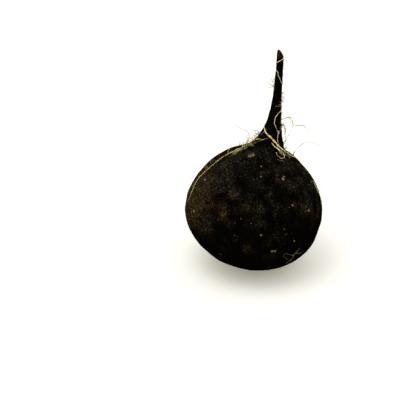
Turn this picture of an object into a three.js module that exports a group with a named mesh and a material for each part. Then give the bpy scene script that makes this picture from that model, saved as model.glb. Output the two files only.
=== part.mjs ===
// A whole black radish, trimmed for sale: the swollen root drawn out into its taproot, the growing
// point and the cut leaf stalks of the crown, and the fine lateral rootlets left on it. It stands on
// its crown with the taproot up. Millimetres, +Z up. The origin is the middle of the crown, on the
// surface that the radish stands on. Angles run anticlockwise seen from above, 0 towards +X.

import * as THREE from 'three';

// ---- Driving dimensions ----------------------------------------------------------------------

const TOTAL_HEIGHT = 141.5;
const GAP = 0.35;                  // pieces that touch keep this much apart

// Swollen root: rounded below its widest part, drawn in towards its shoulders above.
const BODY_RADIUS = 42.4;
const UPPER_HALF = { height: 39.1, fullness: 1.75 };   // a fullness of 2 is an ellipse,
const LOWER_HALF = { height: 38, fullness: 2.15 };    // less is leaner and more is fuller
const BODY_LEAN = 4.2;             // the body lies this far to -X of the crown
const BODY_LOBES = [               // [count, share of the radius, phase]: it isn't quite round
  [2, 0.008, 270],
  [3, 0.007, 90],
];

// Crown: a flat disc of tissue that the stalks grow from.
const CROWN_RADIUS = 10.8;
const STALK_HEIGHT = 2.3;
const CROWN_LIFT = STALK_HEIGHT + GAP;

// Taproot: a flare that dies away upwards on a slender core, joined to the body by a tight crease.
const FLARE_RADIUS = 10.3;
const FLARE_LENGTH = 14.6;
const CORE_RADIUS_LOW = 1.2;
const CORE_RADIUS_TIP = 1.8;
const CREASE_TIGHTNESS = 8.5;      // the higher, the sharper the crease round the taproot's foot
const TIP_SLOPE = 1.3;             // the broken end falls this much per millimetre towards +X

// The taproot's centre line: it leaves the shoulders off centre, turns to +X and then stands up.
const FOOT_HEIGHT = 77;
const FOOT_OFFSET = 1;
const BEND_REACH = 6.7;
const BEND_LENGTH = 14.6;
const TIP_DRIFT = 1.85;            // what the slender end adds by the tip
const SWAY = 1.6;                  // it bows this far to the front and back again

// Facets.
const AROUND = 40;
const BODY_RINGS = 22;
const TAPROOT_RINGS = 20;
const SHOULDER_HEIGHT = 72;        // the rings change from body spacing to taproot spacing here
const RING_SPREAD = 1.7;           // how much wider the taproot's rings are spaced towards the tip
const ROOTLET_SIDES = 6;
const ROOTLET_STEP = 1.9;

// Leaf stalks, ring by ring: how many, how far out they reach, how thick they are, the half angle
// that each spans, where the first one lies and how far short of the surface they are cut.
const STALK_RINGS = [
  { count: 3, reach: 5.0, thickness: 1.7, halfAngle: 50, first: 20, recess: 0.5 },
  { count: 4, reach: 7.5, thickness: 2.0, halfAngle: 38, first: 65, recess: 0.3 },
  { count: 5, reach: 10.2, thickness: 2.2, halfAngle: 31, first: 36, recess: 0 },
];
const BUD_RADIUS = 2.6;

// Rootlets: [angle, height, clearance], with the clearance from the skin to the rootlet's middle.
// They leave the root in two ranks, at its left (180) and its right (0).
const ROOTLETS = [
  {
    name: 'rootlet_main_strand',
    radius: 0.5,
    route: [[-170, 94, 1], [-115, 91.4, 1], [-76, 87.6, 1], [-44, 83.2, 1], [-10, 78.2, 1],
      [8, 73.8, 1], [11, 70.6, 1], [10, 68, 1], [8, 66, 1]],
  },
  {
    name: 'rootlet_looped_strand',
    radius: 0.35,
    route: [[-88, 86.4, 0.9], [-58, 82.9, 0.9], [-34, 79.4, 0.9], [-25, 77.6, 0.9], [-29, 76.2, 0.9],
      [-40, 76.4, 1], [-51, 78.2, 1.1], [-58, 80.4, 1.2]],
  },
  {
    name: 'rootlet_left_foot',
    radius: 0.35,
    route: [[-184, 84, 0.8], [-165, 86.2, 0.8], [-141, 87.6, 0.8], [-122, 89, 0.8]],
  },
  {
    name: 'rootlet_taproot_wrap',
    radius: 0.35,
    route: [[0, 106, 0.9], [-40, 104.8, 0.8], [-77, 103.4, 0.8], [-94, 98.6, 0.8], [-72, 94.9, 0.8],
      [-45, 91.4, 0.8]],
  },
  {
    name: 'rootlet_near_tip',
    radius: 0.3,
    route: [[-176, 133.5, 0.8], [-124, 135, 0.8], [-70, 136.2, 0.8], [-40, 136.8, 0.9]],
  },
  {
    name: 'rootlet_upper_taproot',
    radius: 0.3,
    route: [[-158, 130, 0.8], [-127, 128.6, 0.8], [-86, 125.1, 0.8], [-38, 121.6, 0.8]],
  },
  {
    name: 'rootlet_curl',
    radius: 0.4,
    route: [[-20, 98, 0.8], [-24, 100.4, 2.7], [-19, 101.5, 4.9], [-16, 99.1, 6.6],
      [-15, 95.8, 7.2], [-15, 91.8, 5.9], [-16, 87.3, 4.2], [-17, 84.8, 3.4]],
  },
  {
    name: 'rootlet_curl_branch',
    radius: 0.3,
    route: [[-13, 96, 8.4], [-11, 95.7, 11.2], [-9, 95.2, 13.6], [-7, 90, 17]],
  },
  {
    name: 'rootlet_stout_stub',
    radius: 0.5,
    route: [[-20, 94.6, 1], [2, 95, 1.8], [12, 92.2, 2.6], [16, 88.2, 2.9], [16, 83.5, 2.6],
      [20, 79.5, 1.6]],
  },
  {
    name: 'rootlet_shoulder_arch',
    radius: 0.35,
    route: [[22, 70.6, 0.9], [17, 71.6, 3], [10, 72.4, 7.4], [8, 72.2, 10.8], [5, 70.8, 14],
      [2, 69, 16.6]],
  },
  {
    name: 'rootlet_left_wisp',
    radius: 0.3,
    route: [[-176, 78.6, 1], [-178, 81.5, 2.5], [-180, 86.2, 6.4], [-177, 86.4, 9.8],
      [-178, 85.7, 12.2], [-178, 86.1, 16.2]],
  },
  {
    name: 'rootlet_left_shoulder',
    radius: 0.4,
    route: [[160, 79, 0.9], [167, 76.7, 0.9], [175, 75.3, 0.9], [181, 72.3, 0.9],
      [184, 68.5, 0.9], [185, 64, 0.9], [186, 59, 0.9], [190, 53.6, 0.9], [193, 48.5, 0.9]],
  },
  {
    name: 'rootlet_back_strand',
    radius: 0.45,
    route: [[30, 99, 1.1], [62, 93, 1.1], [84, 86, 1.3], [80, 80, 1.7], [66, 76.5, 1.9],
      [52, 72.5, 1.3], [40, 65, 1.1], [33, 55.5, 1.1]],
  },
  {
    name: 'rootlet_back_left',
    radius: 0.35,
    route: [[150, 95, 0.8], [128, 88, 0.8], [122, 81.5, 0.8], [134, 76, 0.8], [143, 69, 0.8],
      [147, 61, 0.8]],
  },
  {
    name: 'rootlet_back_curl',
    radius: 0.3,
    route: [[120, 112, 0.7], [104, 114, 2.4], [92, 112.5, 4.4], [88, 109, 5], [96, 106, 4],
      [104, 104.5, 2.6]],
  },
  {
    name: 'rootlet_right_rank_low',
    radius: 0.3,
    route: [[-2, 57.5, 0.8], [-6, 53, 0.8], [-5, 48.5, 0.9], [-12, 44, 0.9]],
  },
];

// ---- Materials -------------------------------------------------------------------------------

const skinMaterial = new THREE.MeshStandardMaterial({ color: '#14120d', roughness: 0.85, metalness: 0 });
const stalkMaterial = new THREE.MeshStandardMaterial({ color: '#a9a45c', roughness: 0.75, metalness: 0 });
const budMaterial = new THREE.MeshStandardMaterial({ color: '#cfc58a', roughness: 0.7, metalness: 0 });
const rootletMaterial = new THREE.MeshStandardMaterial({ color: '#8a7346', roughness: 0.8, metalness: 0 });

// ---- Outline ---------------------------------------------------------------------------------

const radians = THREE.MathUtils.degToRad;
const { clamp, lerp, smoothstep } = THREE.MathUtils;

// How far below its widest part the body is as narrow as its crown.
const CROWN_DROP = LOWER_HALF.height
  * (1 - (CROWN_RADIUS / BODY_RADIUS) ** LOWER_HALF.fullness) ** (1 / LOWER_HALF.fullness);
const WAIST_HEIGHT = CROWN_LIFT + CROWN_DROP;
const BODY_TOP = WAIST_HEIGHT + UPPER_HALF.height;

function bodyRadiusAt(height) {
  const half = height > WAIST_HEIGHT ? UPPER_HALF : LOWER_HALF;
  const share = Math.min(1, Math.abs(height - WAIST_HEIGHT) / half.height);
  return BODY_RADIUS * (1 - share ** half.fullness) ** (1 / half.fullness);
}

// The taproot starts inside the body, where it doesn't show, and is full grown at its foot.
const TAPROOT_START = BODY_TOP - 22;
const TAPROOT_FULL = BODY_TOP - 8;
const BLEND_START = BODY_TOP - 16;
const BLEND_END = BODY_TOP - 4;

function taprootRadiusAt(height) {
  const grown = smoothstep(height, TAPROOT_START, TAPROOT_FULL);
  const along = clamp((height - BODY_TOP) / (TOTAL_HEIGHT - BODY_TOP), 0, 1);
  const core = lerp(CORE_RADIUS_LOW, CORE_RADIUS_TIP, along);
  return grown * (core + FLARE_RADIUS * Math.exp((BODY_TOP - height) / FLARE_LENGTH));
}

// Middle of the body, of the taproot and of both together at a height. The outline is measured
// from the last one, which changes over from the body's to the taproot's below the shoulders.
function bodyMiddleAt(height) {
  const rise = clamp((height - CROWN_LIFT) / (WAIST_HEIGHT - CROWN_LIFT), 0, 1);
  return -BODY_LEAN * Math.sin(rise * Math.PI / 2);
}

function taprootMiddleAt(height) {
  const past = Math.max(0, height - FOOT_HEIGHT);
  const drift = TIP_DRIFT * past / (TOTAL_HEIGHT - FOOT_HEIGHT);
  return FOOT_OFFSET + BEND_REACH * (1 - Math.exp(-past / BEND_LENGTH)) + drift;
}

function middleAt(height) {
  const share = smoothstep(height, BLEND_START, BLEND_END);
  const along = clamp((height - FOOT_HEIGHT) / (TOTAL_HEIGHT - FOOT_HEIGHT), 0, 1);
  const x = lerp(bodyMiddleAt(height), taprootMiddleAt(height), share);
  return new THREE.Vector2(x, -SWAY * Math.sin(1.5 * Math.PI * along));
}

// Distance in one direction to a circle whose middle is offset along X, or 0 where it is missed.
function reachTo(offset, radius, angle) {
  const reach = radius ** 2 - (offset * Math.sin(angle)) ** 2;
  return reach > 0 ? Math.max(0, offset * Math.cos(angle) + Math.sqrt(reach)) : 0;
}

// How much fuller or leaner the body is in one direction. The lobes fade out at both ends.
function lobesAt(angle, height) {
  const strength = bodyRadiusAt(height) / BODY_RADIUS;
  const swell = ([count, share, phase]) => share * Math.cos(count * angle + radians(phase));
  return BODY_LOBES.reduce((factor, lobe) => factor + strength * swell(lobe), 1);
}

// Distance from the middle to the skin: the body's or the taproot's, whichever is more, with a
// tight fillet where they meet.
function skinReachAt(angle, height) {
  const { x } = middleAt(height);
  const body = reachTo(bodyMiddleAt(height) - x, bodyRadiusAt(height) * lobesAt(angle, height), angle);
  const taproot = reachTo(taprootMiddleAt(height) - x, taprootRadiusAt(height), angle);
  return (body ** CREASE_TIGHTNESS + taproot ** CREASE_TIGHTNESS) ** (1 / CREASE_TIGHTNESS);
}

// A point on the skin.
function onSkin(angle, height) {
  const middle = middleAt(height);
  const reach = skinReachAt(angle, height);
  return new THREE.Vector3(middle.x + reach * Math.cos(angle), middle.y + reach * Math.sin(angle), height);
}

// A point off the skin, along its outward normal.
function offSkin(degrees, height, clearance) {
  const nudge = 1e-3;
  const angle = radians(degrees);
  const point = onSkin(angle, height);
  const around = onSkin(angle + nudge, height).sub(point);
  const upward = onSkin(angle, height + nudge).sub(point);
  return point.add(around.cross(upward).setLength(clearance));
}

// ---- The root --------------------------------------------------------------------------------

// Ring heights: even turns round the body's outline, then steps that open out up the taproot.
function ringHeights() {
  const firstTurn = Math.acos((WAIST_HEIGHT - CROWN_LIFT) / LOWER_HALF.height);
  const lastTurn = Math.acos((WAIST_HEIGHT - SHOULDER_HEIGHT) / UPPER_HALF.height);
  const end = TOTAL_HEIGHT - TIP_SLOPE * taprootRadiusAt(TOTAL_HEIGHT);
  const body = Array.from({ length: BODY_RINGS }, (_, i) => {
    const turn = lerp(firstTurn, lastTurn, i / BODY_RINGS);
    const half = turn > Math.PI / 2 ? UPPER_HALF : LOWER_HALF;
    return WAIST_HEIGHT - half.height * Math.cos(turn);
  });
  const taproot = Array.from({ length: TAPROOT_RINGS + 1 }, (_, i) =>
    lerp(SHOULDER_HEIGHT, end, (i / TAPROOT_RINGS) ** RING_SPREAD),
  );
  return [...body, ...taproot];
}

// Turned as a lathe would, ring by ring, and then pushed out or in to the true outline.
function radishRoot() {
  const heights = ringHeights();
  const end = heights[heights.length - 1];
  const profile = [
    new THREE.Vector2(0, CROWN_LIFT),
    ...heights.map((height) => new THREE.Vector2(1, height)),
    new THREE.Vector2(0, end),
  ];
  const geometry = new THREE.LatheGeometry(profile, AROUND).rotateX(Math.PI / 2);
  const position = geometry.attributes.position;
  for (let i = 0; i < position.count; i += 1) {
    const [x, y, height] = [position.getX(i), position.getY(i), position.getZ(i)];
    const middle = middleAt(height);
    const reach = Math.hypot(x, y) < 0.5 ? 0 : skinReachAt(Math.atan2(y, x), height);
    const drop = height > end - 0.001 ? TIP_SLOPE * reach * x : 0;
    position.setXYZ(i, middle.x + reach * x, middle.y + reach * y, height - drop);
  }
  const mesh = new THREE.Mesh(geometry, skinMaterial);
  mesh.name = 'radish_root';
  return mesh;
}

// ---- The crown -------------------------------------------------------------------------------

// Growing point, cut flat with the stalks.
function crownBud() {
  const profile = [
    new THREE.Vector2(0, 0),
    new THREE.Vector2(BUD_RADIUS - 0.3, 0),
    new THREE.Vector2(BUD_RADIUS, 0.5),
    new THREE.Vector2(BUD_RADIUS, STALK_HEIGHT),
    new THREE.Vector2(0, STALK_HEIGHT),
  ];
  const mesh = new THREE.Mesh(new THREE.LatheGeometry(profile, 16).rotateX(Math.PI / 2), budMaterial);
  mesh.name = 'crown_bud';
  return mesh;
}

// One cut leaf stalk: a crescent in section, thick in the middle, that clasps what it grew round.
function leafStalk({ reach, thickness, halfAngle, recess }, degrees) {
  const half = radians(halfAngle);
  const tipX = reach * Math.cos(half);
  const tipY = reach * Math.sin(half);
  const section = new THREE.Shape();
  section.absarc(0, 0, reach, -half, half, false);
  section.quadraticCurveTo(2 * (reach - thickness) - tipX, 0, tipX, -tipY);
  const geometry = new THREE.ExtrudeGeometry(section, {
    depth: STALK_HEIGHT - recess,
    bevelEnabled: false,
    curveSegments: 5,
  });
  const mesh = new THREE.Mesh(geometry, stalkMaterial);
  mesh.position.z = recess;
  mesh.rotation.z = radians(degrees);
  return mesh;
}

function leafStalks() {
  const stalks = STALK_RINGS.flatMap((ring) =>
    Array.from({ length: ring.count }, (_, i) => leafStalk(ring, ring.first + i * 360 / ring.count)),
  );
  stalks.forEach((stalk, i) => {
    stalk.name = `leaf_stalk_${String(i + 1).padStart(2, '0')}`;
  });
  return stalks;
}

// ---- The rootlets ----------------------------------------------------------------------------

function polygon(sides, radius) {
  return Array.from({ length: sides }, (_, i) => {
    const angle = 2 * Math.PI * i / sides;
    return new THREE.Vector2(radius * Math.cos(angle), radius * Math.sin(angle));
  });
}

// The route is smoothed in angle, height and clearance, so that it follows the skin between points.
function rootlet({ name, radius, route }) {
  const chart = new THREE.CatmullRomCurve3(route.map((point) => new THREE.Vector3(...point)));
  const points = chart.getPoints(4 * route.length).map(({ x: angle, y: height, z: clearance }) =>
    offSkin(angle, height, Math.max(clearance, radius + GAP)),
  );
  const path = new THREE.CatmullRomCurve3(points);
  const geometry = new THREE.ExtrudeGeometry(new THREE.Shape(polygon(ROOTLET_SIDES, radius)), {
    steps: Math.ceil(path.getLength() / ROOTLET_STEP),
    extrudePath: path,
  });
  const mesh = new THREE.Mesh(geometry, rootletMaterial);
  mesh.name = name;
  return mesh;
}

// ---- The radish ------------------------------------------------------------------------------

const crown = new THREE.Group();
crown.add(crownBud(), ...leafStalks());

const radish = new THREE.Group();
radish.add(radishRoot(), crown, ...ROOTLETS.map(rootlet));

export default radish;
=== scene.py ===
"""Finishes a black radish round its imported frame: skin, crown, rootlets, root hairs and stage."""

import math
import random

import bpy
import numpy as np
from bpy.props import FloatProperty, FloatVectorProperty, IntProperty, PointerProperty
from bpy.types import Operator, Panel, PropertyGroup
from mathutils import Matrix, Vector, noise
from mathutils.bvhtree import BVHTree


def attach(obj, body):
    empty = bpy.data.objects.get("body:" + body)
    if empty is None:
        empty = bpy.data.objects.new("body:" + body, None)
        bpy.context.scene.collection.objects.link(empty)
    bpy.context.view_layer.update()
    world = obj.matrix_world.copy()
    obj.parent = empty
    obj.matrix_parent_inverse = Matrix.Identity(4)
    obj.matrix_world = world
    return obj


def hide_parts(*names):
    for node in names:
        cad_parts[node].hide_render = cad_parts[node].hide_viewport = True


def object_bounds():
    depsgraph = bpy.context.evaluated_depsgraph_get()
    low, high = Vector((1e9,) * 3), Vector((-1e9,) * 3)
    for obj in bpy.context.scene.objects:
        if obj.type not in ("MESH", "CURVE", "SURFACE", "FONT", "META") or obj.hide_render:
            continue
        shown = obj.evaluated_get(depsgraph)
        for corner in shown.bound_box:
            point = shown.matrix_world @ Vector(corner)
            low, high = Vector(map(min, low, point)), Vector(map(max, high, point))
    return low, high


bl_info = {
    "name": "Black Radish",
    "version": (1, 0, 0),
    "blender": (4, 5, 0),
    "location": "3D View > Sidebar > Radish",
    "description": "Finishes a whole black radish standing on its crown",
    "category": "Add Mesh",
}

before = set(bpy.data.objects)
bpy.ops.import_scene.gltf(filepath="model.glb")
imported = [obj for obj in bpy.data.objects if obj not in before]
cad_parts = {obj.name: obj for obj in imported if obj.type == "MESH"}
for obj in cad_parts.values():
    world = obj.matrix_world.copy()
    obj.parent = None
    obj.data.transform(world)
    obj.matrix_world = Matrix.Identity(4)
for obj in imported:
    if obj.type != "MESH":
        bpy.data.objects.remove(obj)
CAD_LOW, CAD_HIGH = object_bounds()
CAD_SIZE = CAD_HIGH - CAD_LOW

MM = 0.001
ROOT = "radish_root"

# Rootlets on the frame's own routes, apart from rootlet_near_tip, whose ends curl further off.
# Each has its node, the finish's radius at the foot in mm, then (angle, height, clearance) in
# degrees and mm, with the clearance from the skin to the rootlet's middle.
ROOTLETS = [
    ("rootlet_main_strand", 0.34, [
        (-170, 94, 1), (-115, 91.4, 1), (-76, 87.6, 1), (-44, 83.2, 1), (-10, 78.2, 1),
        (8, 73.8, 1), (11, 70.6, 1), (10, 68, 1), (8, 66, 1)]),
    ("rootlet_looped_strand", 0.24, [
        (-88, 86.4, 0.9), (-58, 82.9, 0.9), (-34, 79.4, 0.9), (-25, 77.6, 0.9), (-29, 76.2, 0.9),
        (-40, 76.4, 1), (-51, 78.2, 1.1), (-58, 80.4, 1.2)]),
    ("rootlet_left_foot", 0.24, [
        (-184, 84, 0.8), (-165, 86.2, 0.8), (-141, 87.6, 0.8), (-122, 89, 0.8)]),
    ("rootlet_taproot_wrap", 0.2, [
        (0, 106, 0.9), (-40, 104.8, 0.8), (-77, 103.4, 0.8), (-94, 98.6, 0.8), (-72, 94.9, 0.8),
        (-45, 91.4, 0.8)]),
    ("rootlet_near_tip", 0.22, [
        (-178, 132.6, 1.9), (-150, 133.8, 0.8), (-100, 135.4, 0.8), (-55, 136.6, 0.9),
        (-25, 137.6, 2.2), (-18, 138.4, 3.2)]),
    ("rootlet_upper_taproot", 0.2, [
        (-158, 130, 0.8), (-127, 128.6, 0.8), (-86, 125.1, 0.8), (-38, 121.6, 0.8)]),
    ("rootlet_curl", 0.29, [
        (-20, 98, 0.8), (-24, 100.4, 2.7), (-19, 101.5, 4.9), (-16, 99.1, 6.6),
        (-15, 95.8, 7.2), (-15, 91.8, 5.9), (-16, 87.3, 4.2), (-17, 84.8, 3.4)]),
    ("rootlet_curl_branch", 0.24, [
        (-13, 96, 8.4), (-11, 95.7, 11.2), (-9, 95.2, 13.6), (-7, 90, 17)]),
    ("rootlet_stout_stub", 0.32, [
        (-20, 94.6, 1), (2, 95, 1.8), (12, 92.2, 2.6), (16, 88.2, 2.9), (16, 83.5, 2.6),
        (20, 79.5, 1.6)]),
    ("rootlet_shoulder_arch", 0.27, [
        (22, 70.6, 0.9), (17, 71.6, 3), (10, 72.4, 7.4), (8, 72.2, 10.8), (5, 70.8, 14),
        (2, 69, 16.6)]),
    ("rootlet_left_wisp", 0.27, [
        (-176, 78.6, 1), (-178, 81.5, 2.5), (-180, 86.2, 6.4), (-177, 86.4, 9.8),
        (-178, 85.7, 12.2), (-178, 86.1, 16.2)]),
    ("rootlet_left_shoulder", 0.2, [
        (160, 79, 0.9), (167, 76.7, 0.9), (175, 75.3, 0.9), (181, 72.3, 0.9), (184, 68.5, 0.9),
        (185, 64, 0.9), (186, 59, 0.9), (190, 53.6, 0.9), (193, 48.5, 0.9)]),
    ("rootlet_back_strand", 0.42, [
        (30, 99, 1.1), (62, 93, 1.1), (84, 86, 1.3), (80, 80, 1.7), (66, 76.5, 1.9),
        (52, 72.5, 1.3), (40, 65, 1.1), (33, 55.5, 1.1)]),
    ("rootlet_back_left", 0.3, [
        (150, 95, 0.8), (128, 88, 0.8), (122, 81.5, 0.8), (134, 76, 0.8), (143, 69, 0.8),
        (147, 61, 0.8)]),
    ("rootlet_back_curl", 0.24, [
        (120, 112, 0.7), (104, 114, 2.4), (92, 112.5, 4.4), (88, 109, 5), (96, 106, 4),
        (104, 104.5, 2.6)]),
    ("rootlet_right_rank_low", 0.2, [
        (-2, 57.5, 0.8), (-6, 53, 0.8), (-5, 48.5, 0.9), (-12, 44, 0.9)]),
]
# Fine strands that only the finish has: name, radius at the foot in mm, then the route.
FINE_STRANDS = [
    ("fine_strand_low_front", 0.1, [
        (-50, 27, 0.3), (-52, 25, 0.9), (-55, 23, 0.4), (-55, 20.5, 0.3), (-57, 18, 0.3),
        (-60, 15.5, 0.3)]),
    ("fine_strand_low_branch", 0.07, [
        (-55, 22.5, 0.3), (-60, 24, 0.4), (-64, 26.5, 0.8), (-66, 24.4, 0.6), (-62, 21, 0.4),
        (-58, 20, 0.3)]),
    ("fine_strand_low_wisp", 0.07, [
        (-53, 23.5, 0.3), (-49, 22.5, 0.7), (-45, 21.8, 1), (-42, 22.4, 0.8)]),
    ("fine_strand_right_foot", 0.19, [
        (-46, 93.4, 0.4), (-56, 91, 0.7), (-57, 88.6, 0.7), (-51, 86.2, 0.5), (-46, 84.4, 0.4)]),
    ("fine_strand_crossing", 0.14, [
        (-66, 85.6, 0.4), (-50, 81.4, 0.4), (-34, 78.2, 0.4), (-14, 75.6, 0.4), (-4, 73, 0.4)]),
    ("fine_strand_left_crossing", 0.13, [
        (-196, 81, 0.4), (-174, 82.6, 0.6), (-150, 85.6, 0.4), (-130, 87.4, 0.4),
        (-106, 89.4, 0.4)]),
    ("fine_strand_left_loop", 0.13, [
        (-134, 94, 0.4), (-150, 92.4, 1), (-165, 89.6, 1.2), (-176, 87, 0.9), (-186, 84.6, 0.4)]),
    ("fine_strand_shoulder_hook", 0.14, [
        (178, 73.6, 0.4), (180, 75, 2.4), (178, 75.6, 4.2), (175, 74.4, 5)]),
    ("fine_strand_shoulder_arc", 0.14, [
        (176, 76.2, 0.4), (178, 78.2, 2.4), (180, 79.6, 4.2), (182, 80, 6)]),
    ("fine_strand_rising", 0.2, [
        (14, 103, 0.4), (6, 100, 3), (2, 97, 6.4), (0, 93, 9.2), (-2, 88.5, 10.2)]),
]

WANDER_SEED = 3      # fixes the kinks, which differ from run to run without it
SEED_STEP = 3.1      # between the seeds of one rootlet and the next
STRAND_SEEDS = 100   # where the fine strands' seeds start
ON_SKIN = 2.0        # a rootlet whose clearance in mm is under this lies on the skin
FRAYED_OVER = 0.31   # a rootlet with a radius in mm over this has finer fibres beside it
FRAY_SHARE = 0.38    # how thick those fibres are, against the rootlet
FRAY_STRAY = 1.6     # how far they wander, against the rootlet
FINE_UNDER = 0.135   # a fine strand with a radius in mm under this has the root hairs' finish

# Tufts of root hairs: name, middle and spread (degrees, mm), number of hairs, their length and
# radius in mm, and how far they stand out, from 0, flat, to 1, upright.
TUFTS = [
    ("hairs_left_foot", (180, 84.5), (26, 4.5), 34, 6.5, 0.15, 0.85),
    ("hairs_left_shoulder", (172, 79.5), (12, 1.6), 16, 5, 0.15, 0.85),
    ("hairs_left_tuft", (182, 121), (40, 3.5), 14, 5.5, 0.14, 0.9),
    ("hairs_right_tuft", (2, 111.5), (50, 4.5), 20, 4, 0.15, 0.75),
    ("hairs_right_side", (0, 100), (45, 6), 18, 3.2, 0.15, 0.4),
    ("hairs_right_foot", (-5, 78), (40, 4), 20, 5, 0.15, 0.6),
    ("hairs_upper_root", (-10, 130), (80, 6), 6, 3, 0.11, 0.7),
    ("hairs_shoulder_wisps", (179, 70), (10, 5), 8, 6, 0.15, 0.9),
    ("hairs_right_rank", (-3, 56), (8, 11), 14, 3.6, 0.15, 0.85),
    ("hairs_left_rank", (187, 50), (8, 12), 12, 3, 0.14, 0.7),
    ("hairs_back_foot", (80, 86), (60, 7), 34, 5.6, 0.15, 0.7),
    ("hairs_back_shoulder", (110, 74), (60, 6), 14, 4.4, 0.15, 0.4),
]


# ---- Settings ----------------------------------------------------------------------------------

class SkinSettings(PropertyGroup):
    """Shape and colours of the skin."""

    mesh_size: FloatProperty(
        name="Mesh size", description="Edge length of the skin's faces",
        default=0.6 * MM, min=0.3 * MM, max=3 * MM, subtype="DISTANCE", unit="LENGTH")
    dents: FloatProperty(
        name="Dents", description="Depth of the broad hollows and swellings",
        default=0.9 * MM, subtype="DISTANCE", unit="LENGTH")
    wrinkles: FloatProperty(
        name="Wrinkles", description="Depth of the level wrinkles",
        default=0.35 * MM, subtype="DISTANCE", unit="LENGTH")
    grain: FloatProperty(
        name="Grain", description="Height of the fine cracked grain",
        default=0.22 * MM, subtype="DISTANCE", unit="LENGTH")
    rust: FloatVectorProperty(
        name="Rust", description="Colour of the warmer stains",
        default=(0.078, 0.050, 0.018), size=3, subtype="COLOR", min=0, max=1)
    black: FloatVectorProperty(
        name="Black", description="Colour of clean skin",
        default=(0.0008, 0.0007, 0.0004), size=3, subtype="COLOR", min=0, max=1)
    brown: FloatVectorProperty(
        name="Brown", description="Colour of stained skin",
        default=(0.055, 0.047, 0.031), size=3, subtype="COLOR", min=0, max=1)
    tan: FloatVectorProperty(
        name="Tan", description="Colour of scars and flecks",
        default=(0.27, 0.22, 0.105), size=3, subtype="COLOR", min=0, max=1)


class RootletSettings(PropertyGroup):
    """Shape and colours of the rootlets and root hairs."""

    thickness: FloatProperty(
        name="Thickness", description="How thick the rootlets are, against their listed radius",
        default=0.8, min=0.2, max=2)
    kinks: FloatProperty(
        name="Kinks", description="How far a rootlet wanders from its route",
        default=0.8 * MM, subtype="DISTANCE", unit="LENGTH")
    hair_count: FloatProperty(
        name="Hair count", description="How many root hairs there are, against the usual number",
        default=1.0, min=0.1, max=2)
    frays: IntProperty(
        name="Frays", description="How many fine fibres run beside each rootlet",
        default=2, min=0, max=6)
    straw: FloatVectorProperty(
        name="Straw", description="Colour of a rootlet's pale lengths",
        default=(0.95, 0.82, 0.38), size=3, subtype="COLOR", min=0, max=1)
    amber: FloatVectorProperty(
        name="Amber", description="Colour of a rootlet's darker lengths",
        default=(0.46, 0.27, 0.045), size=3, subtype="COLOR", min=0, max=1)
    hair: FloatVectorProperty(
        name="Hair", description="Colour of the root hairs",
        default=(0.36, 0.29, 0.095), size=3, subtype="COLOR", min=0, max=1)


class CrownSettings(PropertyGroup):
    """Shape and colours of the trimmed crown."""

    mesh_size: FloatProperty(
        name="Mesh size", description="Edge length of the stalks' faces",
        default=0.22 * MM, min=0.1 * MM, max=1 * MM, subtype="DISTANCE", unit="LENGTH")
    fibres: FloatProperty(
        name="Fibres", description="Depth of the stalks' fibres",
        default=0.28 * MM, subtype="DISTANCE", unit="LENGTH")
    scale_count: IntProperty(
        name="Scales", description="How many dry leaf scales stand round the crown",
        default=22, min=0, max=60)
    cut: FloatVectorProperty(
        name="Cut", description="Colour of the cut ends",
        default=(0.56, 0.50, 0.24), size=3, subtype="COLOR", min=0, max=1)
    green: FloatVectorProperty(
        name="Green", description="Colour of the stalks' sides",
        default=(0.22, 0.24, 0.07), size=3, subtype="COLOR", min=0, max=1)
    dry: FloatVectorProperty(
        name="Dry", description="Colour of dry, papery tissue",
        default=(0.10, 0.060, 0.025), size=3, subtype="COLOR", min=0, max=1)


class StageSettings(PropertyGroup):
    """Floor, lights and camera."""

    floor_radius: FloatProperty(
        name="Floor radius", description="Radius of the round white floor",
        default=12 * CAD_SIZE.z, subtype="DISTANCE", unit="LENGTH")
    sky: FloatProperty(
        name="Sky", description="Strength of the even white light from all round",
        default=0.98, min=0)
    key: FloatProperty(
        name="Key light", description="Power of the softbox", default=0.75, min=0, subtype="POWER")
    floor_glow: FloatProperty(
        name="Floor glow", description="Light from under the floor, which softens the shadow",
        default=0.2, min=0)
    focal_length: FloatProperty(
        name="Focal length", description="Camera focal length, in millimetres", default=100)
    elevation: FloatProperty(
        name="Elevation", description="How far the camera looks down",
        default=math.radians(28), subtype="ANGLE")
    distance: FloatProperty(
        name="Distance", description="From the camera to the point that it looks at",
        default=0.689, subtype="DISTANCE", unit="LENGTH")
    aim: FloatVectorProperty(
        name="Aim", description="Point that the camera looks at, as shares of the radish's box",
        default=(0.1079, 0.4966, 0.3082), size=3)


# ---- Shaders -----------------------------------------------------------------------------------

class Value:
    """A shader socket that takes part in arithmetic: each operator adds a Math node."""

    def __init__(self, finish, socket):
        self.finish = finish
        self.socket = socket

    def maths(self, operation, first, second):
        """The result of one Math node."""
        return self.finish.node("ShaderNodeMath", {"operation": operation}, {0: first, 1: second})

    def __add__(self, other):
        return self.maths("ADD", self, other)

    def __sub__(self, other):
        return self.maths("SUBTRACT", self, other)

    def __rsub__(self, other):
        return self.maths("SUBTRACT", other, self)

    def __mul__(self, other):
        return self.maths("MULTIPLY", self, other)

    def __pow__(self, other):
        return self.maths("POWER", self, other)

    __radd__ = __add__
    __rmul__ = __mul__


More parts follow.
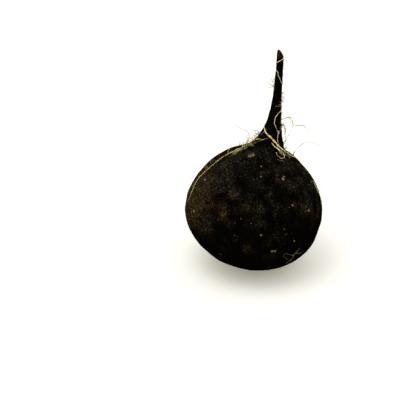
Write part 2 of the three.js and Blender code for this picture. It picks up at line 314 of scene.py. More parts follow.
class Finish:
    """A procedural material in the making, on a Principled shader."""

    def __init__(self, name, **constants):
        self.material = bpy.data.materials.new(name)
        self.material.use_nodes = True
        self.tree = self.material.node_tree
        self.shader = self.tree.nodes["Principled BSDF"]
        for socket, value in constants.items():
            self.shader.inputs[socket.replace("_", " ")].default_value = value

    def feed(self, socket, value):
        """Links a value to a socket, or sets it there."""
        if isinstance(value, Value):
            self.tree.links.new(value.socket, socket)
        else:
            socket.default_value = value

    def node(self, kind, settings=None, sockets=None, output=0):
        """Adds a node: its settings first, then its sockets' values or links."""
        made = self.tree.nodes.new(kind)
        for name, value in (settings or {}).items():
            setattr(made, name, value)
        for name, value in (sockets or {}).items():
            self.feed(made.inputs[name], value)
        return Value(self, made.outputs[output])

    def place(self, scale=(1, 1, 1)):
        """Object coordinates in millimetres, times a scale."""
        where = self.node("ShaderNodeTexCoord", output=3)
        size = [1000 * s for s in scale]
        return self.node("ShaderNodeMapping", None, {"Vector": where, "Scale": size})

    def noise(self, vector, per_mm, detail=2.0, roughness=0.5, output=0):
        """Noise from 0 to 1 with that many swells to the millimetre, or its colour."""
        sockets = {"Vector": vector, "Scale": per_mm, "Detail": detail, "Roughness": roughness}
        return self.node("ShaderNodeTexNoise", None, sockets, output)

    def cells(self, vector, per_mm, output=0):
        """Cells with that many to the millimetre: distance, or a random colour for each."""
        return self.node("ShaderNodeTexVoronoi", None, {"Vector": vector, "Scale": per_mm}, output)

    def vector_maths(self, operation, *vectors, output=0):
        """The result of one Vector Math node."""
        return self.node("ShaderNodeVectorMath", {"operation": operation},
                         dict(enumerate(vectors)), output)

    def ramp(self, value, low, high):
        """0 below low, 1 above high and a smooth step between."""
        settings = {"interpolation_type": "SMOOTHSTEP"}
        return self.node("ShaderNodeMapRange", settings,
                         {"Value": value, "From Min": low, "From Max": high})

    def mix(self, share, first, second):
        """A colour between two, by a share."""
        sockets = {"Factor": share, 6: self.colour(first), 7: self.colour(second)}
        return self.node("ShaderNodeMix", {"data_type": "RGBA"}, sockets, 2)

    @staticmethod
    def colour(value):
        """A colour with its alpha, or the link as it is."""
        return value if isinstance(value, Value) else (*value, 1)

    def part(self, vector, axis):
        """One coordinate of a vector."""
        return self.node("ShaderNodeSeparateXYZ", None, {0: vector}, "XYZ".index(axis))

    def nearness(self, vector, point, reach):
        """1 at a point, in millimetres, falling to 0 at its reach."""
        return self.ramp(self.vector_maths("DISTANCE", vector, point, output=1), reach, 0)

    def surface(self, colour, roughness):
        """Gives the shader its colour and roughness."""
        self.feed(self.shader.inputs["Base Color"], colour)
        self.feed(self.shader.inputs["Roughness"], roughness)

    def bump(self, height, depth):
        """Tilts the shading by a height field of that depth in metres."""
        normal = self.node("ShaderNodeBump", None, {"Height": height, "Distance": depth})
        self.feed(self.shader.inputs["Normal"], normal)

    def paint(self, piece):
        """Gives the material to a piece."""
        piece.data.materials.clear()
        piece.data.materials.append(self.material)


# ---- Modelling helpers -------------------------------------------------------------------------

def pick(piece):
    """Makes a piece the only selected object, and the active one."""
    bpy.ops.object.select_all(action="DESELECT")
    piece.select_set(True)
    bpy.context.view_layer.objects.active = piece


def face_outwards(piece, doubles=0.0):
    """Merges vertices within a distance, if there is one, and turns the faces outwards."""
    pick(piece)
    bpy.ops.object.mode_set(mode="EDIT")
    bpy.ops.mesh.select_all(action="SELECT")
    if doubles:
        bpy.ops.mesh.remove_doubles(threshold=doubles)
    bpy.ops.mesh.normals_make_consistent(inside=False)
    bpy.ops.object.mode_set(mode="OBJECT")


def shade_smooth(piece):
    """Shades a piece smooth."""
    pick(piece)
    bpy.ops.object.shade_smooth()


def merged_copy(node, name):
    """A closed copy of a frame node, to be shaped further."""
    piece = bpy.data.objects.new(name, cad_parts[node].data.copy())
    bpy.context.scene.collection.objects.link(piece)
    face_outwards(piece, 0.01 * MM)
    return piece


def apply_modifier(piece, kind, **settings):
    """Adds a modifier, sets it and applies it."""
    pick(piece)
    modifier = piece.modifiers.new(kind.title(), kind)
    for name, value in settings.items():
        setattr(modifier, name, value)
    bpy.ops.object.modifier_apply(modifier=modifier.name)


def remesh(piece, face_size, smoothings):
    """Gives a piece even faces of that size and smooths off their steps."""
    apply_modifier(piece, "REMESH", mode="VOXEL", voxel_size=face_size)
    apply_modifier(piece, "SMOOTH", factor=0.5, iterations=smoothings)


def displace(piece, texture, depth, stretch=(1, 1, 1), group=""):
    """Moves the surface along its normals by a texture, stretched along the axes."""
    guide = bpy.data.objects.new("texture guide", None)
    guide.scale = stretch
    bpy.context.scene.collection.objects.link(guide)
    bpy.context.view_layer.update()
    apply_modifier(piece, "DISPLACE", texture=texture, texture_coords="OBJECT",
                   texture_coords_object=guide, strength=depth, mid_level=0.5, vertex_group=group)
    bpy.data.objects.remove(guide)


def relief(name, kind, size, **settings):
    """A texture to displace with, whose features have that size."""
    texture = bpy.data.textures.new(name, kind)
    texture.noise_scale = size
    for setting, value in settings.items():
        setattr(texture, setting, value)
    return texture


def vertex_places(piece):
    """The places of a piece's vertices as an array."""
    places = np.empty(len(piece.data.vertices) * 3)
    piece.data.vertices.foreach_get("co", places)
    return places.reshape(-1, 3)


def weigh(piece, name, weights):
    """Makes a vertex group from one weight for each vertex."""
    group = piece.vertex_groups.new(name=name)
    for index, weight in enumerate(weights):
        group.add([index], float(weight), "REPLACE")
    return name


def smooth_step(values, low, high):
    """0 below low, 1 above high and a smooth step between."""
    share = np.clip((values - low) / (high - low), 0, 1)
    return share * share * (3 - 2 * share)


def place_in_scene(piece, slot, *nodes):
    """Keeps a piece above the floor, puts it on the body and hides the frame nodes that it stands
    in for; the slot is not used.
    """
    places = vertex_places(piece)
    places[:, 2] = np.maximum(places[:, 2], CAD_LOW.z)
    piece.data.vertices.foreach_set("co", places.ravel())
    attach(piece, "root")
    if nodes:
        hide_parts(*nodes)


class Section:
    """The radish's outline by height: the middle and the reach to the skin of each frame ring."""

    FULL_RING = 36       # a level ring has at least this many corners
    STEP = 3             # degrees between the angles at which its reach is kept
    ASIDE = 4            # degrees to each side that the outward normal looks

    def __init__(self):
        places = np.unique(np.round(vertex_places(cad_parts[ROOT]), 7), axis=0)
        self.heights, self.middles, self.reaches = [], [], []
        self.angles = np.arange(-180, 180, self.STEP)
        for height in np.unique(np.round(places[:, 2], 5)):
            ring = places[np.abs(places[:, 2] - height) < 0.02 * MM][:, :2]
            if len(ring) >= self.FULL_RING:
                self.add_ring(height, ring)
        self.middles = np.array(self.middles)
        self.reaches = np.array(self.reaches)

    def add_ring(self, height, ring):
        """Finds a ring's middle, where the lines between its opposite corners cross."""
        ring = ring[np.argsort(np.arctan2(*(ring - ring.mean(0)).T[::-1]))]
        quarter = len(ring) // 4
        first, second = ring[0], ring[quarter]
        lines = np.array([ring[2 * quarter] - first, second - ring[3 * quarter]]).T
        middle = first + (ring[2 * quarter] - first) * np.linalg.solve(lines, second - first)[0]
        x, y = (ring - middle).T
        degrees = np.degrees(np.arctan2(y, x))
        order = np.argsort(degrees)
        self.heights.append(height)
        self.middles.append(middle)
        self.reaches.append(np.interp(
            self.angles, degrees[order], np.hypot(x, y)[order], period=360))

    def on(self, degrees, height):
        """A point on the outline."""
        x, y = (np.interp(height, self.heights, column) for column in self.middles.T)
        around = (degrees + 180) / self.STEP
        near = int(around // 1) % len(self.angles)
        share = around % 1
        after = (near + 1) % len(self.angles)
        both = (1 - share) * self.reaches[:, near] + share * self.reaches[:, after]
        reach = np.interp(height, self.heights, both)
        angle = math.radians(degrees)
        return Vector((x + reach * math.cos(angle), y + reach * math.sin(angle), height))

    def outward(self, degrees, height):
        """The outline's outward normal, smoothed over a few degrees and two millimetres."""
        around = self.on(degrees + self.ASIDE, height) - self.on(degrees - self.ASIDE, height)
        upward = self.on(degrees, height + MM) - self.on(degrees, height - MM)
        return around.cross(upward).normalized()

    def off(self, degrees, height, clearance):
        """A point off the outline, by a clearance along its normal."""
        return self.on(degrees, height) + clearance * self.outward(degrees, height)


section = Section()


# ---- Skin --------------------------------------------------------------------------------------

REGAIN = 0.28 * MM        # what remeshing and smoothing take off the skin
TIP_STRETCH = 12 * MM     # the length of taproot that is drawn out to the frame's full height
KNOTS = 0.7 * MM          # depth of the taproot's knots
FURROWS = 0.3 * MM        # depth of the taproot's furrows
LEAF_SCARS = 1.1 * MM     # depth of the scars round the crown


def skin_parts(skin, places):
    """Weighs the skin into its body, its taproot and the scarred ring round its crown."""
    height = places[:, 2]
    centre_x = np.interp(height, section.heights, section.middles[:, 0])
    centre_y = np.interp(height, section.heights, section.middles[:, 1])
    reach = np.hypot(places[:, 0] - centre_x, places[:, 1] - centre_y)
    taproot = smooth_step(height, 78 * MM, 88 * MM)
    crown = smooth_step(-height, -11 * MM, -4 * MM) * smooth_step(reach, 9 * MM, 11 * MM)
    off_floor = smooth_step(height, 2 * MM, 8 * MM)
    below_tip = smooth_step(CAD_HIGH.z - height, MM, 6 * MM)
    return (weigh(skin, "body", (1 - taproot) * (1 - crown) * off_floor),
            weigh(skin, "taproot", taproot * below_tip),
            weigh(skin, "crown", crown))


def skin_shape(settings):
    """The root's body and taproot as one closed skin with dents, wrinkles and grain."""
    skin = merged_copy(ROOT, "radish_skin")
    apply_modifier(skin, "SUBSURF", levels=2, render_levels=2)
    remesh(skin, settings.mesh_size, 8)
    apply_modifier(skin, "DISPLACE", strength=2 * REGAIN, mid_level=0.5)
    places = vertex_places(skin)
    top = places[:, 2].max()
    places[:, 2] += (CAD_HIGH.z - top) * smooth_step(places[:, 2], top - TIP_STRETCH, top)
    skin.data.vertices.foreach_set("co", places.ravel())
    body, root, ring = skin_parts(skin, places)
    displace(skin, relief("dents", "CLOUDS", 17 * MM, noise_depth=1), settings.dents, group=body)
    displace(skin, relief("wrinkles", "CLOUDS", 5 * MM, noise_depth=2), settings.wrinkles,
             stretch=(3.5, 3.5, 0.8), group=body)
    displace(skin, relief("grain", "VORONOI", 1.5 * MM, distance_metric="DISTANCE"),
             settings.grain, stretch=(1.3, 1.3, 0.8), group=body)
    displace(skin, relief("knots", "CLOUDS", 3.2 * MM, noise_depth=2), KNOTS,
             stretch=(1, 1, 1.7), group=root)
    displace(skin, relief("root furrows", "CLOUDS", 1.4 * MM, noise_depth=1), FURROWS,
             stretch=(0.8, 0.8, 3), group=root)
    displace(skin, relief("leaf scars", "CLOUDS", 2.2 * MM, noise_depth=2), LEAF_SCARS,
             stretch=(3, 3, 0.6), group=ring)
    shade_smooth(skin)
    return skin


# Pale scuffs, brown patches and pale flecks: (angle, height, reach, strength), in degrees and mm.
SCUFFS = [
    (174, 77.2, 3.6, 1.5), (-178, 76.2, 2.8, 1.1), (172, 75.2, 2.6, 0.8), (-134, 77.9, 2.2, 1.6),
    (-127, 78.5, 1.6, 1.1), (40, 74, 4.5, 0.9), (110, 69, 5.0, 0.7),
]
PATCHES = [
    (-115.5, 62.4, 5, 0.7), (-121, 52.8, 7, 0.8), (-101, 57.1, 4.5, 0.6), (-76, 62, 5, 0.5),
    (-36, 50, 7, 0.8), (-98, 31, 9, 0.9), (-118, 31, 5, 0.6), (-77, 27, 9, 0.9),
    (-36, 40, 6, 0.5), (70, 50, 11, 0.6), (130, 36, 9, 0.5), (20, 26, 8, 0.4),
]
FLECKS = [
    (-57, 68.8, 1.3, 1.3), (-54.6, 69.6, 0.9, 1.0), (-97.7, 74.8, 0.8, 1.3), (-93, 71, 0.7, 1.2),
    (-124.5, 65.4, 0.7, 1.0), (-151.5, 46.5, 1.1, 1.5), (-37, 49.4, 1.2, 1.6),
    (-54.7, 56, 1.0, 1.2), (-77, 30.5, 1.2, 0.9), (-74.5, 30.2, 1.1, 0.9),
    (-86.4, 42.4, 0.9, 0.8), (-57, 34.5, 0.8, 1.2), (60, 62, 1.4, 1.0), (96, 45, 1.2, 1.0),
    (150, 58, 1.3, 0.9),
]


def skin_marks(finish, at, marks):
    """A mask of round marks with soft edges, set on the skin."""
    total = 0
    for degrees, height, reach, strength in marks:
        point = 1000 * section.on(degrees, height * MM)
        total = finish.nearness(at, point, reach) * strength + total
    return total


def skin_stain_and_painted_light(finish, at, warped, height, patch):
    """The bare clouds, the share of brown under them from stain and from painted light and shade,
    and how warm that brown is, warmer where the reflection is painted on the left.
    """
    side = finish.part(at, "X")
    # Painted reflection: brown light painted on the left side, more of it higher up.
    left = finish.ramp(0 - side, 20, 46) * (0.1 + 0.9 * finish.ramp(height, 22, 50))
    # Browner towards the right side.
    right = finish.ramp(side, 22, 40)
    # Painted light from above: browner towards the top of the body. Painted shade: darker low down.
    upper = finish.ramp(height, 22, 76)
    low = finish.ramp(height, 42, 14)
    broad = finish.noise(at, 0.04, detail=3.0)
    # Real stain from the broad noise and the patches, with the painted light and shade added in.
    stain_drift_and_painted_light = upper * 0.5 + left * 0.85 + right * 0.3 + (broad - 0.5) * 1.3 + patch * 0.7 - low * 0.42
    clouds = finish.noise(warped, 0.17, detail=4.0, roughness=0.55)
    cloud = finish.ramp(clouds * 0.7 + stain_drift_and_painted_light * 0.45, 0.32, 0.84) ** 1.7
    # The painted reflection on the left also warms the brown there.
    warm = finish.ramp(finish.noise(at, 0.09, detail=2.0) + left * 0.35 + patch * 0.3, 0.45, 0.8)
    return clouds, cloud, warm


def skin_finish(settings):
    """Nearly black skin: brown grain in clouds, with painted light browning the top and left and
    painted shade darkening the low body, a corky crown, scuffs and pale flecks.
    """
    finish = Finish("radish skin", Specular_IOR_Level=0.0, IOR=1.4)
    pale = [1.5 * c for c in settings.tan]
    corky = [0.5 * c for c in settings.tan]
    at = finish.place()
    height = finish.part(at, "Z")
    taproot = finish.ramp(height, 79, 86)

    stir = finish.noise(at, 0.5, detail=3.0, output=1)
    aside = finish.vector_maths("SUBTRACT", stir, (0.5, 0.5, 0.5))
    warped = finish.vector_maths("MULTIPLY_ADD", aside, (4, 4, 4), at)
    rough = finish.vector_maths("MULTIPLY_ADD", aside, (1.2, 1.2, 1.2), at)
    speckle = finish.noise(rough, 1.15, detail=3.0, roughness=0.75)
    dust = finish.noise(rough, 2.8, detail=2.0, roughness=0.6)
    chips = finish.ramp(finish.noise(rough, 1.8, detail=3.0, roughness=0.7), 0.46, 0.6)

    patch = skin_marks(finish, warped, PATCHES)
    clouds, cloud, warm = skin_stain_and_painted_light(finish, at, warped, height, patch)
    grains = finish.ramp(speckle, 0.46, 0.72) ** 1.6 + finish.ramp(dust, 0.52, 0.75) * 0.4
    # Share of brown: real grain and stain, with the painted light and shade that the clouds carry.
    stain_and_painted_light = (0.02 + cloud) * (0.02 + grains * 2.1) * (1 - taproot * 0.85)
    stain = finish.mix(warm, settings.brown, settings.rust)
    colour = finish.mix(stain_and_painted_light, settings.black, stain)

    scuffs = skin_marks(finish, warped, SCUFFS) * (0.15 + chips) * (0.3 + clouds) * 1.5
    colour = finish.mix(scuffs * 0.9, colour, settings.tan)
    rare = finish.ramp(finish.part(finish.cells(warped, 0.5, output=1), "Y"), 0.95, 0.97)
    # The rare flecks show more where the clouds are brown, painted light included.
    rare = rare * finish.ramp(finish.cells(warped, 0.5), 0.24, 0.08) * (0.2 + cloud)
    flecks = skin_marks(finish, at, FLECKS) * (0.1 + chips * 1.2) + rare * (1 - taproot)
    colour = finish.mix(flecks, colour, pale)

    rings = finish.noise(finish.place((0.25, 0.25, 2.2)), 0.5, detail=4.0, roughness=0.7)
    crown = finish.ramp(height, 8, 3.5) * finish.ramp(rings, 0.4, 0.7) * 0.8
    colour = finish.mix(crown, colour, corky)
    tip = 1000 * CAD_HIGH.z
    break_face = finish.ramp(height, tip - 5, tip - 2.5)
    colour = finish.mix(break_face * finish.ramp(speckle, 0.4, 0.7) * 0.15, colour, settings.tan)
    finish.surface(colour, 0.78 + speckle * 0.2)
    finish.bump(speckle * 0.7 + dust * 0.3, 0.4 * MM)
    return finish


class RADISH_OT_skin(Operator):
    """Shapes the skin of the body and taproot round the frame and finishes it"""

    bl_idname = "radish.skin"
    bl_label = "Skin"

    def execute(self, context):
        settings = context.scene.radish_skin
        skin = skin_shape(settings)
        skin_finish(settings).paint(skin)
        place_in_scene(skin, "skin", ROOT)
        return {"FINISHED"}


# ---- Rootlets and root hairs -------------------------------------------------------------------

ROUTE_STEPS = 10          # steps that a rootlet takes from one point of its route to the next
SLACK_BENDS = 4 * MM      # size of its slack bends
TIGHT_BENDS = 1.2 * MM    # size of its tight kinks, which are half as deep
SWELLINGS = 1.4 * MM      # length of its swellings and waists
SWELL_DEPTH = 0.8         # how much they change its radius
TAPER = 0.5               # how much thinner its end is than its foot
PROUD = 0.55              # how far its middle stands off the skin that it lies on, in radii

HAIR_STEPS = 14           # points on a root hair
HAIR_TAPER = 0.6          # how much thinner its end is than its foot
HAIR_SWERVE = 0.17        # how hard it turns at each point
SWERVE_KEPT = 0.7         # how much of a turn goes on at the next point
HAIR_LIFT = 0.06          # how hard a raised hair grows away from the skin
HAIR_BOUNCE = 0.5         # how hard it turns off the skin where it would dip into it


def skin_tree():
    """The finished skin, to lay rootlets on."""
    skin = bpy.data.objects["radish_skin"]
    return BVHTree.FromObject(skin, bpy.context.evaluated_depsgraph_get())


def strands(name, lines, sides_level):
    """Closed tubes along lines of (place, radius), joined in one mesh."""
    curve = bpy.data.curves.new(name, "CURVE")
    curve.dimensions = "3D"
    curve.bevel_depth = MM
    curve.bevel_resolution = sides_level
    curve.use_fill_caps = True
    for line in lines:
        spline = curve.splines.new("POLY")
        spline.points.add(len(line) - 1)
        for point, (place, radius) in zip(spline.points, line):
            point.co = (*place, 1)
            point.radius = radius / MM
    piece = bpy.data.objects.new(name, curve)
    bpy.context.scene.collection.objects.link(piece)
    pick(piece)
    bpy.ops.object.convert(target="MESH")
    piece = bpy.context.object
    face_outwards(piece, 0.002 * MM)
    shade_smooth(piece)
    return piece


def smooth_route(route, steps):
    """A Catmull-Rom curve through a route's points, in angle, height and clearance."""
    points = [Vector(point) for point in (route[0], *route, route[-1])]
    made = []
    for before, start, end, after in zip(points, points[1:], points[2:], points[3:]):
        for i in range(steps):
            t = i / steps
            bend = 2 * before - 5 * start + 4 * end - after
            twist = 3 * start - before - 3 * end + after
            made.append(start + 0.5 * (t * (end - before) + t * t * bend + t ** 3 * twist))
    return [*made, points[-1]]


def wander(place, seed, size):
    """A smooth offset up to about one long, with bends of that size."""
    return noise.noise_vector(place / size + Vector((seed, 2.7 * seed, -seed)))


def rootlet_line(tree, seed, radius, route, settings, stray=1):
    """A rootlet's places and radii: on the skin where it lies there, tapered and kinked."""
    line = []
    chart = smooth_route(route, ROUTE_STEPS)
    for i, (degrees, height, clearance) in enumerate(chart):
        share = i / (len(chart) - 1)
        place = section.on(degrees, height * MM)
        kink = wander(place, seed, SLACK_BENDS) * stray + 0.5 * wander(place, seed, TIGHT_BENDS)
        kink = settings.kinks * kink
        swell = 1 + SWELL_DEPTH * noise.noise(place / SWELLINGS + Vector((seed, 0, 0)))
        thick = radius * MM * settings.thickness * swell * (1 - TAPER * share)
        if clearance < ON_SKIN:
            place, normal, _, _ = tree.find_nearest(place + kink)
            place = place + PROUD * thick * normal
        else:
            place = section.off(degrees, height * MM, clearance * MM) + kink
        line.append((place, thick))
    return eased(line)


def eased(line):
    """The line with each place drawn half way to the middle of its neighbours."""
    places = [place for place, _ in line]
    middles = [(a + b) / 2 for a, b in zip(places, places[2:])]
    inner = [place.lerp(middle, 0.5) for place, middle in zip(places[1:], middles)]
    return [(place, radius) for place, (_, radius) in zip([places[0], *inner, places[-1]], line)]


def hair_line(draw, tree, degrees, height, length, radius, rise):
    """A root hair: it leaves the skin, wanders off and never dips back into it."""
    start = section.on(degrees, height)
    place, normal, _, _ = tree.find_nearest(start)
    side = Vector([draw.gauss(0, 1) for _ in range(3)])
    side = (side - side.dot(normal) * normal).normalized()
    heading = (rise * normal + (1 - rise) * side).normalized()
    line = []
    turn = Vector((0, 0, 0))
    for i in range(HAIR_STEPS):
        line.append((place.copy(), radius * (1 - HAIR_TAPER * i / HAIR_STEPS)))
        turn = SWERVE_KEPT * turn + Vector([draw.gauss(0, HAIR_SWERVE) for _ in range(3)])
        heading = (heading + turn + HAIR_LIFT * rise * normal).normalized()
        place = place + length / HAIR_STEPS * heading
        near, normal, _, _ = tree.find_nearest(place)
        if (place - near).dot(normal) < radius:
            place = near + radius * normal
            heading = (heading + HAIR_BOUNCE * normal).normalized()
        place = Vector((min(max(p, low), high) for p, low, high in zip(place, CAD_LOW, CAD_HIGH)))
    return line


def rootlet_finish(settings):
    """Dry root fibre: straw, amber in places, with fine streaks."""
    finish = Finish("rootlet fibre", Specular_IOR_Level=0.25)
    at = finish.place()
    lengths = finish.noise(at, 0.4, detail=3.0, roughness=0.6)
    streaks = finish.noise(at, 2.6, detail=2.0)
    share = finish.ramp(lengths * 0.7 + streaks * 0.3, 0.47, 0.6)
    colour = finish.mix(share, settings.straw, settings.amber)
    finish.surface(colour, 0.55 + streaks * 0.3)
    finish.bump(streaks, 0.1 * MM)
    return finish


def hair_finish(settings):
    """Fine dry hairs, a little darker in places."""
    finish = Finish("root hairs", Specular_IOR_Level=0.2)
    lengths = finish.noise(finish.place(), 0.4, detail=2.0)
    darker = [0.55 * c for c in settings.hair]
    colour = finish.mix(finish.ramp(lengths, 0.4, 0.65), settings.hair, darker)
    finish.surface(colour, 0.6 + lengths * 0.3)
    return finish


class RADISH_OT_rootlets(Operator):
    """Lays each rootlet along its route, thick at the foot and fine at the end"""

    bl_idname = "radish.rootlets"
    bl_label = "Rootlets"

    def execute(self, context):
        settings = context.scene.radish_rootlets
        finish = rootlet_finish(settings)
        fine_finish = hair_finish(settings)
        tree = skin_tree()
        for number, (node, radius, route) in enumerate(ROOTLETS):
            seed = SEED_STEP * number
            lines = [rootlet_line(tree, seed, radius, route, settings)]
            frays = settings.frays if radius > FRAYED_OVER else 0
            lines += [rootlet_line(tree, seed + i, FRAY_SHARE * radius, route, settings, FRAY_STRAY)
                      for i in range(1, frays + 1)]
            piece = strands(node.replace("rootlet", "fibre"), lines, 1)
            on_skin = sum(clearance < ON_SKIN for _, _, clearance in route) > len(route) / 2
            (finish if on_skin else fine_finish).paint(piece)
            place_in_scene(piece, "rootlet", node)
        for number, (name, radius, route) in enumerate(FINE_STRANDS):
            seed = STRAND_SEEDS + SEED_STEP * number
            line = rootlet_line(tree, seed, radius, route, settings)
            piece = strands(name, [line], 1)
            (finish if radius > FINE_UNDER else fine_finish).paint(piece)
            place_in_scene(piece, "rootlet")
        return {"FINISHED"}


class RADISH_OT_hairs(Operator):
    """Grows the tufts of fine root hairs"""

    bl_idname = "radish.hairs"
    bl_label = "Root hairs"

    def execute(self, context):
        settings = context.scene.radish_rootlets
        finish = hair_finish(settings)
        tree = skin_tree()
        for name, (degrees, height), (wide, tall), count, length, radius, rise in TUFTS:
            draw = random.Random(name)
            lines = [hair_line(draw, tree, degrees + draw.uniform(-wide, wide),
                               (height + draw.uniform(-tall, tall)) * MM,
                               length * MM * draw.uniform(0.4, 1.3),
                               radius * MM * draw.uniform(0.6, 1.2), rise)
                     for _ in range(round(count * settings.hair_count))]
            piece = strands(name, lines, 0)
            finish.paint(piece)
            place_in_scene(piece, "rootlet")
        return {"FINISHED"}


# ---- Crown -------------------------------------------------------------------------------------

LEAF_STALK = "leaf_stalk"
BUD = "crown_bud"
BUD_RIDGES = 0.2 * MM        # depth of the growing point's rings
SCALE_THICKNESS = 0.22 * MM
SCALE_OFF_FLOOR = 0.35 * MM  # a dry scale stays at least this far off the floor
SCALE_FOOT = 1.6 * MM        # height that a dry scale grows from


def trimmed_shape(node, name, settings, ridges, depth, stretch=(1, 1, 1)):
    """A trimmed piece of the crown with ridged sides and a slightly ragged cut."""
    piece = merged_copy(node, name)
    remesh(piece, settings.mesh_size, 3)
    displace(piece, ridges, depth, stretch)
    shade_smooth(piece)
    return piece


def stalk_shape(node, settings):
    """A cut leaf stalk with fibrous sides."""
    fibres = relief(node + " fibres", "CLOUDS", 0.7 * MM, noise_depth=2)
    return trimmed_shape(node, node.replace(LEAF_STALK, "stalk_stub"), settings, fibres,
                         settings.fibres, (1, 1, 5))


def bud_shape(settings):
    """The cut growing point: a short stub of tightly packed rings."""
    rings = relief("bud rings", "CLOUDS", 0.6 * MM, noise_depth=1)
    return trimmed_shape(BUD, "growing_point", settings, rings, BUD_RIDGES)


def stalk_finish(settings):
    """Pale cut ends with darker vessels, greenish sides and dry brown rims."""
    finish = Finish("leaf stalk", Specular_IOR_Level=0.25)
    at = finish.place()
    height = finish.part(at, "Z")
    streaks = finish.noise(finish.place((1, 1, 0.15)), 1.6, detail=3.0, roughness=0.65)
    stain = finish.noise(at, 0.5, detail=3.0)
    vessels = finish.ramp(finish.cells(at, 1.3), 0.3, 0.12)
    side = finish.mix(finish.ramp(streaks + stain * 0.5, 0.6, 0.95), settings.green, settings.dry)
    face = finish.mix(vessels * 0.5 + finish.ramp(stain, 0.5, 0.75) * 0.5, settings.cut,
                      settings.dry)
    colour = finish.mix(finish.ramp(height + streaks * 0.5, 0.85, 0.45), side, face)
    finish.surface(colour, 0.6 + streaks * 0.3)
    finish.bump(streaks, 0.2 * MM)
    return finish


def bud_finish(settings):
    """Cream growing point with close pale and green rings."""
    finish = Finish("growing point", Specular_IOR_Level=0.25)
    at = finish.place()
    ring = finish.node("ShaderNodeTexWave", {"wave_type": "RINGS", "rings_direction": "Z"},
                       {"Vector": at, "Scale": 0.35, "Distortion": 1.5, "Detail": 2.0}, 1)
    mottle = finish.noise(at, 1.5, detail=3.0)
    colour = finish.mix(ring * 0.6, settings.cut, settings.green)
    colour = finish.mix(finish.ramp(mottle, 0.5, 0.8) * 0.6, colour, settings.dry)
    finish.surface(colour, 0.5 + mottle * 0.3)
    finish.bump(mottle, 0.15 * MM)
    return finish


def scale_shape(draw, name, degrees, tree):
    """A dry leaf scale: a thin curled triangle that leans out from the crown."""
    bpy.ops.object.select_all(action="DESELECT")
    bpy.ops.mesh.primitive_grid_add(x_subdivisions=4, y_subdivisions=6, size=1)
    piece = bpy.context.object
    piece.name = name
    width = draw.uniform(2.2, 4.2) * MM
    length = draw.uniform(2.6, 5.0) * MM
    curl = draw.uniform(0.2, 0.7)
    inner = draw.uniform(10.6, 12.2) * MM
    droop = draw.uniform(0.2, 0.55)
    angle = math.radians(degrees)
    for vertex in piece.data.vertices:
        across, along, _ = vertex.co
        share = along + 0.5
        wide = across * width * (1 - share) ** 0.7
        out = inner + length * share
        crumple = noise.noise(vertex.co * 5 + Vector((degrees, 0, 0)))
        lift = curl * abs(across) * MM + 0.4 * MM * crumple
        base = Vector((out * math.cos(angle) - wide * math.sin(angle),
                       out * math.sin(angle) + wide * math.cos(angle), SCALE_FOOT))
        on_skin, normal, _, _ = tree.find_nearest(base)
        gap = 0.25 * MM + droop * MM * share + lift
        vertex.co = on_skin.lerp(base, 0.35) + gap * normal
        vertex.co.z = max(vertex.co.z, SCALE_OFF_FLOOR)
    apply_modifier(piece, "SOLIDIFY", thickness=SCALE_THICKNESS, offset=0)
    apply_modifier(piece, "SUBSURF", levels=1, render_levels=1)
    face_outwards(piece)
    shade_smooth(piece)
    return piece


def scale_finish(settings):
    """Dry, papery brown with darker veins."""
    finish = Finish("dry scale", Specular_IOR_Level=0.15)
    at = finish.place()
    veins = finish.noise(at, 1.4, detail=4.0, roughness=0.7)
    paler = [2.2 * c for c in settings.dry]
    darker = [0.3 * c for c in settings.dry]
    colour = finish.mix(finish.ramp(veins, 0.35, 0.65), darker, paler)
    finish.surface(colour, 0.65 + veins * 0.3)
    finish.bump(veins, 0.2 * MM)
    return finish


class RADISH_OT_crown(Operator):
    """Shapes the cut stalks, the growing point and the dry scales round them"""

    bl_idname = "radish.crown"
    bl_label = "Crown"

    def execute(self, context):
        settings = context.scene.radish_crown
        finish = stalk_finish(settings)
        for node in sorted(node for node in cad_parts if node.startswith(LEAF_STALK)):
            piece = stalk_shape(node, settings)
            finish.paint(piece)
            place_in_scene(piece, "stalk", node)
        bud = bud_shape(settings)
        bud_finish(settings).paint(bud)
        place_in_scene(bud, "bud", BUD)
        draw = random.Random("scales")
        tree = skin_tree()
        finish = scale_finish(settings)
        for i in range(settings.scale_count):
            degrees = 360 * (i + draw.uniform(-0.4, 0.4)) / settings.scale_count
            piece = scale_shape(draw, f"dry_scale_{i + 1:02}", degrees, tree)
            finish.paint(piece)
            place_in_scene(piece, "stalk")
        return {"FINISHED"}


# ---- Stage -------------------------------------------------------------------------------------

FLOOR_WHITE = (0.93, 0.93, 0.915, 1)
GLOW_COLOUR = (1, 0.92, 0.62, 1)
SOFTBOX_TOWARDS = (-0.35, -0.3, 1)   # from the radish to the softbox
SOFTBOX_REACH = 4 * CAD_SIZE.z       # how far away it is
SOFTBOX_SIZE = 2.4 * CAD_SIZE.z
SENSOR_WIDTH = 36                    # of the camera, in millimetres
NEAREST_SEEN = 10 * MM               # nothing closer to the camera than this is drawn


def stage_floor(settings):
    """A round white floor at the level that the radish stands on."""
    bpy.ops.object.select_all(action="DESELECT")
    bpy.ops.mesh.primitive_circle_add(
        vertices=96, radius=settings.floor_radius, fill_type="NGON", location=(0, 0, CAD_LOW.z))
    floor = bpy.context.object
    floor.name = "floor"
    Finish("white floor", Base_Color=FLOOR_WHITE, Roughness=0.9, Specular_IOR_Level=0.0,
           Emission_Color=GLOW_COLOUR, Emission_Strength=settings.floor_glow).paint(floor)


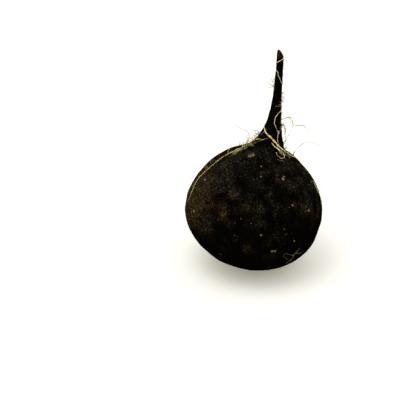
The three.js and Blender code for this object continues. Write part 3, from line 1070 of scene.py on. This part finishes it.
def stage_lights(settings):
    """Even white light from all round and one softbox above."""
    world = bpy.data.worlds.new("studio")
    world.use_nodes = True
    sky = world.node_tree.nodes["Background"]
    sky.inputs["Color"].default_value = (1, 1, 1, 1)
    sky.inputs["Strength"].default_value = settings.sky
    bpy.context.scene.world = world
    aim = Vector((0, 0, 0.3 * CAD_SIZE.z))
    place = aim + SOFTBOX_REACH * Vector(SOFTBOX_TOWARDS).normalized()
    bpy.ops.object.light_add(type="AREA", location=place)
    key = bpy.context.object
    key.name = "softbox"
    key.data.shape = "DISK"
    key.data.size = SOFTBOX_SIZE
    key.data.energy = settings.key
    key.rotation_euler = (aim - place).to_track_quat("-Z", "Y").to_euler()


def stage_camera(settings):
    """The camera, looking down from the front at a point left of the radish's middle."""
    aim = CAD_LOW + Vector(share * size for share, size in zip(settings.aim, CAD_SIZE))
    back = Vector((0, -math.cos(settings.elevation), math.sin(settings.elevation)))
    bpy.ops.object.camera_add(location=aim + settings.distance * back)
    camera = bpy.context.object
    camera.name = "camera"
    camera.rotation_euler = (-back).to_track_quat("-Z", "Y").to_euler()
    camera.data.lens = settings.focal_length
    camera.data.sensor_width = SENSOR_WIDTH
    camera.data.clip_start = NEAREST_SEEN
    bpy.context.scene.camera = camera


class RADISH_OT_stage(Operator):
    """Adds the white floor, the studio light and the camera"""

    bl_idname = "radish.stage"
    bl_label = "Stage"

    def execute(self, context):
        settings = context.scene.radish_stage
        stage_floor(settings)
        stage_lights(settings)
        stage_camera(settings)
        context.scene.view_settings.view_transform = "Standard"
        return {"FINISHED"}


# ---- Add-on ------------------------------------------------------------------------------------

class RADISH_PT_panel(Panel):
    """Lists the radish's pieces and their settings"""

    bl_label = "Black Radish"
    bl_idname = "RADISH_PT_panel"
    bl_space_type = "VIEW_3D"
    bl_region_type = "UI"
    bl_category = "Radish"

    def draw(self, context):
        for operator, group in STEPS:
            box = self.layout.box()
            box.operator(operator.bl_idname)
            settings = getattr(context.scene, group)
            for name in type(settings).__annotations__:
                box.prop(settings, name)


STEPS = [
    (RADISH_OT_stage, "radish_stage"),
    (RADISH_OT_skin, "radish_skin"),
    (RADISH_OT_rootlets, "radish_rootlets"),
    (RADISH_OT_hairs, "radish_rootlets"),
    (RADISH_OT_crown, "radish_crown"),
]
GROUPS = {
    "radish_stage": StageSettings,
    "radish_skin": SkinSettings,
    "radish_rootlets": RootletSettings,
    "radish_crown": CrownSettings,
}
CLASSES = [*GROUPS.values(), *(operator for operator, _ in STEPS), RADISH_PT_panel]


def register():
    """Registers the classes and hangs the settings on the scene."""
    for cls in CLASSES:
        bpy.utils.register_class(cls)
    for name, group in GROUPS.items():
        setattr(bpy.types.Scene, name, PointerProperty(type=group))


def unregister():
    """Takes the settings and the classes away again."""
    for name in GROUPS:
        delattr(bpy.types.Scene, name)
    for cls in reversed(CLASSES):
        bpy.utils.unregister_class(cls)


def main():
    """Makes every piece in order."""
    register()
    noise.seed_set(WANDER_SEED)
    bpy.ops.radish.stage()
    bpy.ops.radish.skin()
    bpy.ops.radish.rootlets()
    bpy.ops.radish.hairs()
    bpy.ops.radish.crown()


if __name__ == "__main__":
    main()
